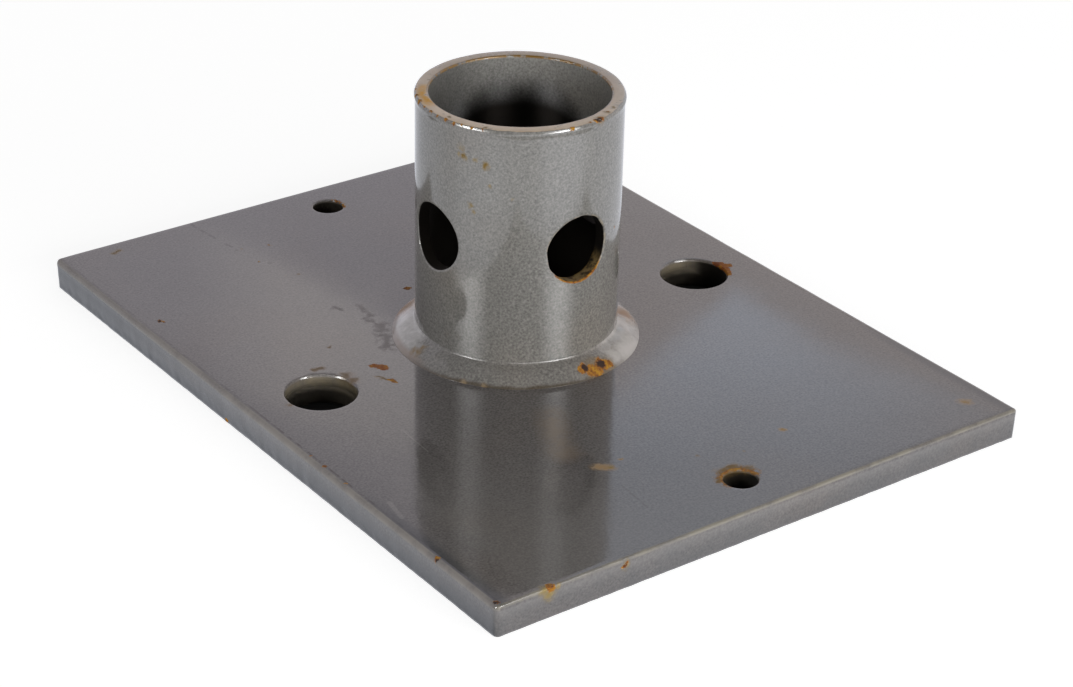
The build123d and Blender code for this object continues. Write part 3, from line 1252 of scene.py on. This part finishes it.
def make_card(name, forward, corners, colour, strengths, full, gone):
    """Upright card behind the plate, which shows only in reflections.

    corners are in millimetres across and up. strengths are at its foot and its top. Sideways it is
    full at one distance across and gone at another.
    """
    level = Vector((forward.x, forward.y, 0)).normalized()
    aside = Vector((level.y, -level.x, 0))
    mesh = make_mesh(name, [(across, up, 0) for across, up in corners], [tuple(range(len(corners)))])
    material, tree = new_material(name)
    at = Place(tree)
    glow = add_node(tree, "ShaderNodeEmission", (*colour, 1.0), fit(at.y, *card_fade, *strengths))
    clear = add_node(tree, "ShaderNodeBsdfTransparent")
    blend = add_node(tree, "ShaderNodeMixShader", fit(at.x, gone, full), clear.outputs[0], glow.outputs[0])
    make_surface(blend)
    card = only_mirrored(name, mesh, material)
    card.matrix_world = (Matrix.Translation(level * card_distance * MM)
                         @ Matrix((aside, (0, 0, 1), -level)).transposed().to_4x4())


def towards(forward, azimuth, elevation):
    """Direction from the object, by angles in degrees from the camera's own direction."""
    towards_camera = Vector((-forward.x, -forward.y, 0)).normalized()
    level = Matrix.Rotation(radians(azimuth), 3, "Z") @ towards_camera
    return level * cos(radians(elevation)) + Vector((0, 0, sin(radians(elevation))))


def face_object(lamp, direction):
    """Puts a lamp or a panel out in a direction, with its front to the object."""
    lamp.location = direction * lamp_distance * MM
    lamp.rotation_euler = (-direction).to_track_quat("-Z", "Y").to_euler()


def half_size(degrees):
    """Half the size in metres that a lamp needs to look a number of degrees wide from the object."""
    return lamp_distance * MM * tan(radians(degrees / 2))


def highlight_strip(name, forward, azimuth, elevation, width, height, radiance):
    """Soft-edged panel, dimmer above a level, for the streaks on the tube. Its sizes are in degrees."""
    material, tree = new_material(name)
    place = add_node(tree, "ShaderNodeTexCoord").outputs["Object"]
    across, up, _ = add_node(tree, "ShaderNodeSeparateXYZ", place).outputs
    sideways = fit(maths("ABSOLUTE", across), 1.0, 0.0)
    upright = times(fit(up, strip_level, strip_level + 0.07, 1.0, 0.22),
                    fit(maths("ABSOLUTE", up), 1.0, 0.5))
    make_surface(add_node(tree, "ShaderNodeEmission", (*white, 1.0), times(sideways, upright, radiance)))
    strip = only_mirrored(name, square_mesh(name, 1 / MM), material)
    face_object(strip, towards(forward, azimuth, elevation))
    strip.scale = (half_size(width), half_size(height), 1)


def softbox(name, forward, azimuth, elevation, width, height, radiance):
    """Flat lamp that faces the object. Its angles are from the camera's direction, its sizes in degrees."""
    light = bpy.data.lights.new(name, "AREA")
    light.shape = "RECTANGLE"
    light.size = 2 * half_size(width)
    light.size_y = 2 * half_size(height)
    light.energy = radiance * pi * light.size * light.size_y
    face_object(add_object(name, light), towards(forward, azimuth, elevation))


def make_camera():
    """Camera at the photograph's view. Gives the direction in which it looks."""
    forward = (aim - eye).normalized()
    right = Matrix.Rotation(-roll, 3, forward) @ forward.cross(Vector((0, 0, 1))).normalized()
    up = right.cross(forward)
    data = bpy.data.cameras.new("camera")
    data.lens = lens
    data.sensor_width = sensor_width
    data.sensor_fit = "HORIZONTAL"
    camera = add_object("camera", data)
    camera.matrix_world = Matrix.Translation(eye * MM) @ Matrix((right, up, -forward)).transposed().to_4x4()
    bpy.context.scene.camera = camera
    return forward


make_plate(plate_paint())
make_tube(tube_paint())
make_weld(weld_paint())
forward = make_camera()
make_floor(forward)
make_world(forward)
make_card("right_card", forward,
          [(34, 154), (82, 104), (119, 127), (185, 153), (260, 185), (260, 420), (34, 420)],
          (0.80, 0.86, 1.0), (1.9, 1.2), 90, 255)
make_card("left_card", forward, [(-145, 68), (-124, 81), (-60, 116), (-29, 134), (-29, 185), (-145, 150)],
          (1.0, 0.94, 0.96), (1.65, 1.15), -75, -140)
highlight_strip("left_strip", forward, -52, 29, 46, 24, 32.0)
highlight_strip("right_strip", forward, 48, 29, 46, 24, 33.5)
softbox("low_fill", forward, 30, 15, 70, 22, 3.75)
bpy.context.scene.view_settings.view_transform = "Standard"
